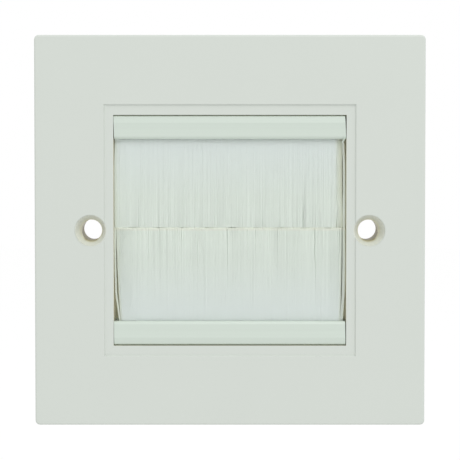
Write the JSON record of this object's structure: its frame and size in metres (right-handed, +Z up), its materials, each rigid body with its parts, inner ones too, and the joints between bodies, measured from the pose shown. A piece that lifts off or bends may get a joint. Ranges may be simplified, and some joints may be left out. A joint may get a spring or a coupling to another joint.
{
  "type": "brush wall plate",
  "caption": "Square wall plate with a square opening closed by facing rows of bristles held in clip-in rails, and a countersunk fixing hole on each side.",
  "frame": {"origin": "midway between the two fixing holes, on the plane of the wall", "axes": "+X to the right and +Z up as seen from the room, -Y out of the wall towards the room"},
  "size_m": [0.085, 0.0085, 0.085],
  "materials": {
    "moulded_plate": "injection moulded, satin gloss, white",
    "extruded_rail": "extruded rigid PVC, saw-cut ends, white",
    "nylon_bristle": "crimped nylon filament, translucent white",
    "galvanised_steel": "folded galvanised strip",
    "drawn_wire": "drawn steel wire"
  },
  "bodies": {
    "root": {"face_plate": "moulded_plate", "rear_frame": "moulded_plate", "top_rail": "extruded_rail", "bottom_rail": "extruded_rail", "top_channel": "galvanised_steel", "bottom_channel": "galvanised_steel", "top_core_wire": "drawn_wire", "bottom_core_wire": "drawn_wire", "top_bristles": "nylon_bristle", "bottom_bristles": "nylon_bristle"}
  },
  "joints": []
}
